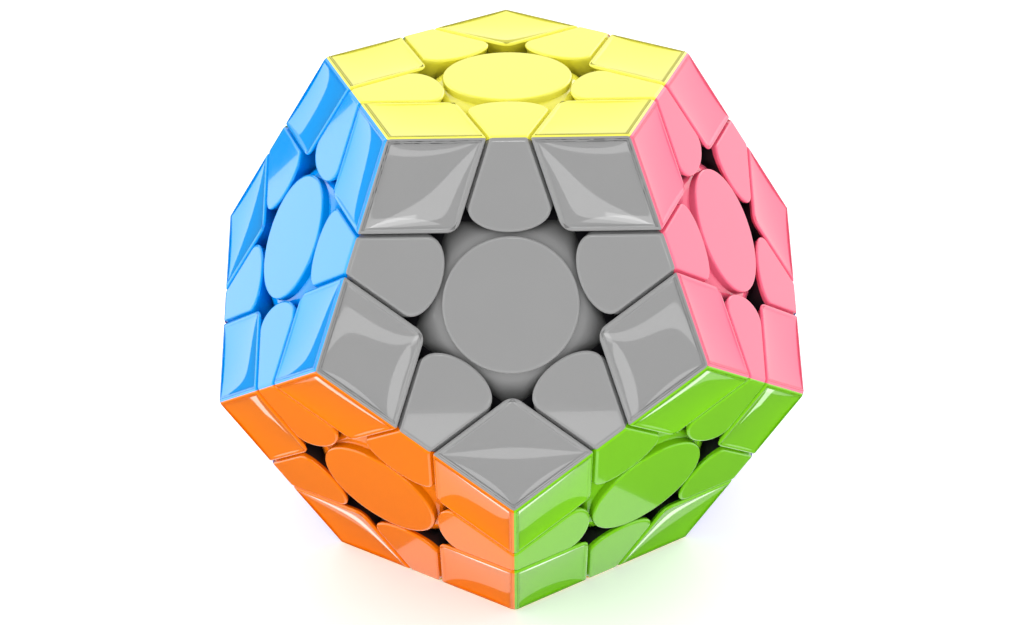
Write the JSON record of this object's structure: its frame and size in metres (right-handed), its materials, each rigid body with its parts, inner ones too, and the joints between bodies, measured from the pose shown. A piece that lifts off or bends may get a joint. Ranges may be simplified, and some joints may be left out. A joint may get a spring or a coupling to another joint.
{
  "type": "dodecahedron twisty puzzle",
  "caption": "Dodecahedral twisty puzzle with solid-coloured faces, round centre caps, rounded edge tiles, dished corner tiles and face layers that turn on a sprung core.",
  "frame": {"origin": "the middle of the core, where the turning axes of all the faces meet", "axes": "+Z out of the pale yellow face, which is on top; the grey face looks out towards -Y and upwards; +X towards the pink and dark blue side"},
  "size_m": [0.0916, 0.0964, 0.078],
  "materials": {
    "pale_yellow": "polished moulded ABS",
    "grey": "polished moulded ABS",
    "pink": "polished moulded ABS",
    "red": "polished moulded ABS",
    "dark_green": "polished moulded ABS",
    "sky_blue": "polished moulded ABS",
    "lime_green": "polished moulded ABS",
    "dark_blue": "polished moulded ABS",
    "white": "polished moulded ABS",
    "purple": "polished moulded ABS",
    "orange": "polished moulded ABS",
    "yellow": "polished moulded ABS",
    "inner_plastic": "moulded, unpolished",
    "steel": "bright"
  },
  "bodies": {
    "core_and_still_pieces": {"core": "inner_plastic", "axle_screws": "steel", "axle_springs": "steel", "spring_washers": "steel", "fixed_hubs": "inner_plastic", "fixed_edge_feet": "inner_plastic", "fixed_corner_feet": "inner_plastic", "grey_cap": "grey", "pink_cap": "pink", "red_cap": "red", "dark_green_cap": "dark_green", "sky_blue_cap": "sky_blue", "dark_blue_cap": "dark_blue", "purple_cap": "purple", "orange_cap": "orange", "yellow_cap": "yellow", "fixed_grey_tiles": "grey", "fixed_pink_tiles": "pink", "fixed_red_tiles": "red", "fixed_dark_green_tiles": "dark_green", "fixed_sky_blue_tiles": "sky_blue", "fixed_dark_blue_tiles": "dark_blue", "fixed_purple_tiles": "purple", "fixed_orange_tiles": "orange", "fixed_yellow_tiles": "yellow"},
    "top_layer": {"top_hubs": "inner_plastic", "top_edge_feet": "inner_plastic", "top_corner_feet": "inner_plastic", "pale_yellow_cap": "pale_yellow", "top_pale_yellow_edge_tiles": "pale_yellow", "top_pale_yellow_corner_tiles": "pale_yellow", "top_grey_tiles": "grey", "top_pink_tiles": "pink", "top_red_tiles": "red", "top_dark_green_tiles": "dark_green", "top_sky_blue_tiles": "sky_blue"},
    "right_layer": {"right_hubs": "inner_plastic", "right_edge_feet": "inner_plastic", "right_corner_feet": "inner_plastic", "lime_green_cap": "lime_green", "right_lime_green_edge_tiles": "lime_green", "right_lime_green_corner_tiles": "lime_green", "right_grey_tiles": "grey", "right_pink_tiles": "pink", "right_dark_blue_tiles": "dark_blue", "right_orange_tiles": "orange", "right_yellow_tiles": "yellow"},
    "rear_layer": {"rear_hubs": "inner_plastic", "rear_edge_feet": "inner_plastic", "rear_corner_feet": "inner_plastic", "white_cap": "white", "rear_white_edge_tiles": "white", "rear_white_corner_tiles": "white", "rear_red_tiles": "red", "rear_dark_green_tiles": "dark_green", "rear_dark_blue_tiles": "dark_blue", "rear_purple_tiles": "purple", "rear_yellow_tiles": "yellow"}
  },
  "joints": [
    {"name": "top_turn", "type": "hinge", "parent": "core_and_still_pieces", "child": "top_layer", "pos_m": [0, 0, 0], "axis": [0, 0, 1], "continuous": true},
    {"name": "right_turn", "type": "hinge", "parent": "core_and_still_pieces", "child": "right_layer", "pos_m": [0, 0, 0], "axis": [0.5257, -0.7236, -0.4472], "continuous": true},
    {"name": "rear_turn", "type": "hinge", "parent": "core_and_still_pieces", "child": "rear_layer", "pos_m": [0, 0, 0], "axis": [0, 0.8944, -0.4472], "continuous": true}
  ]
}
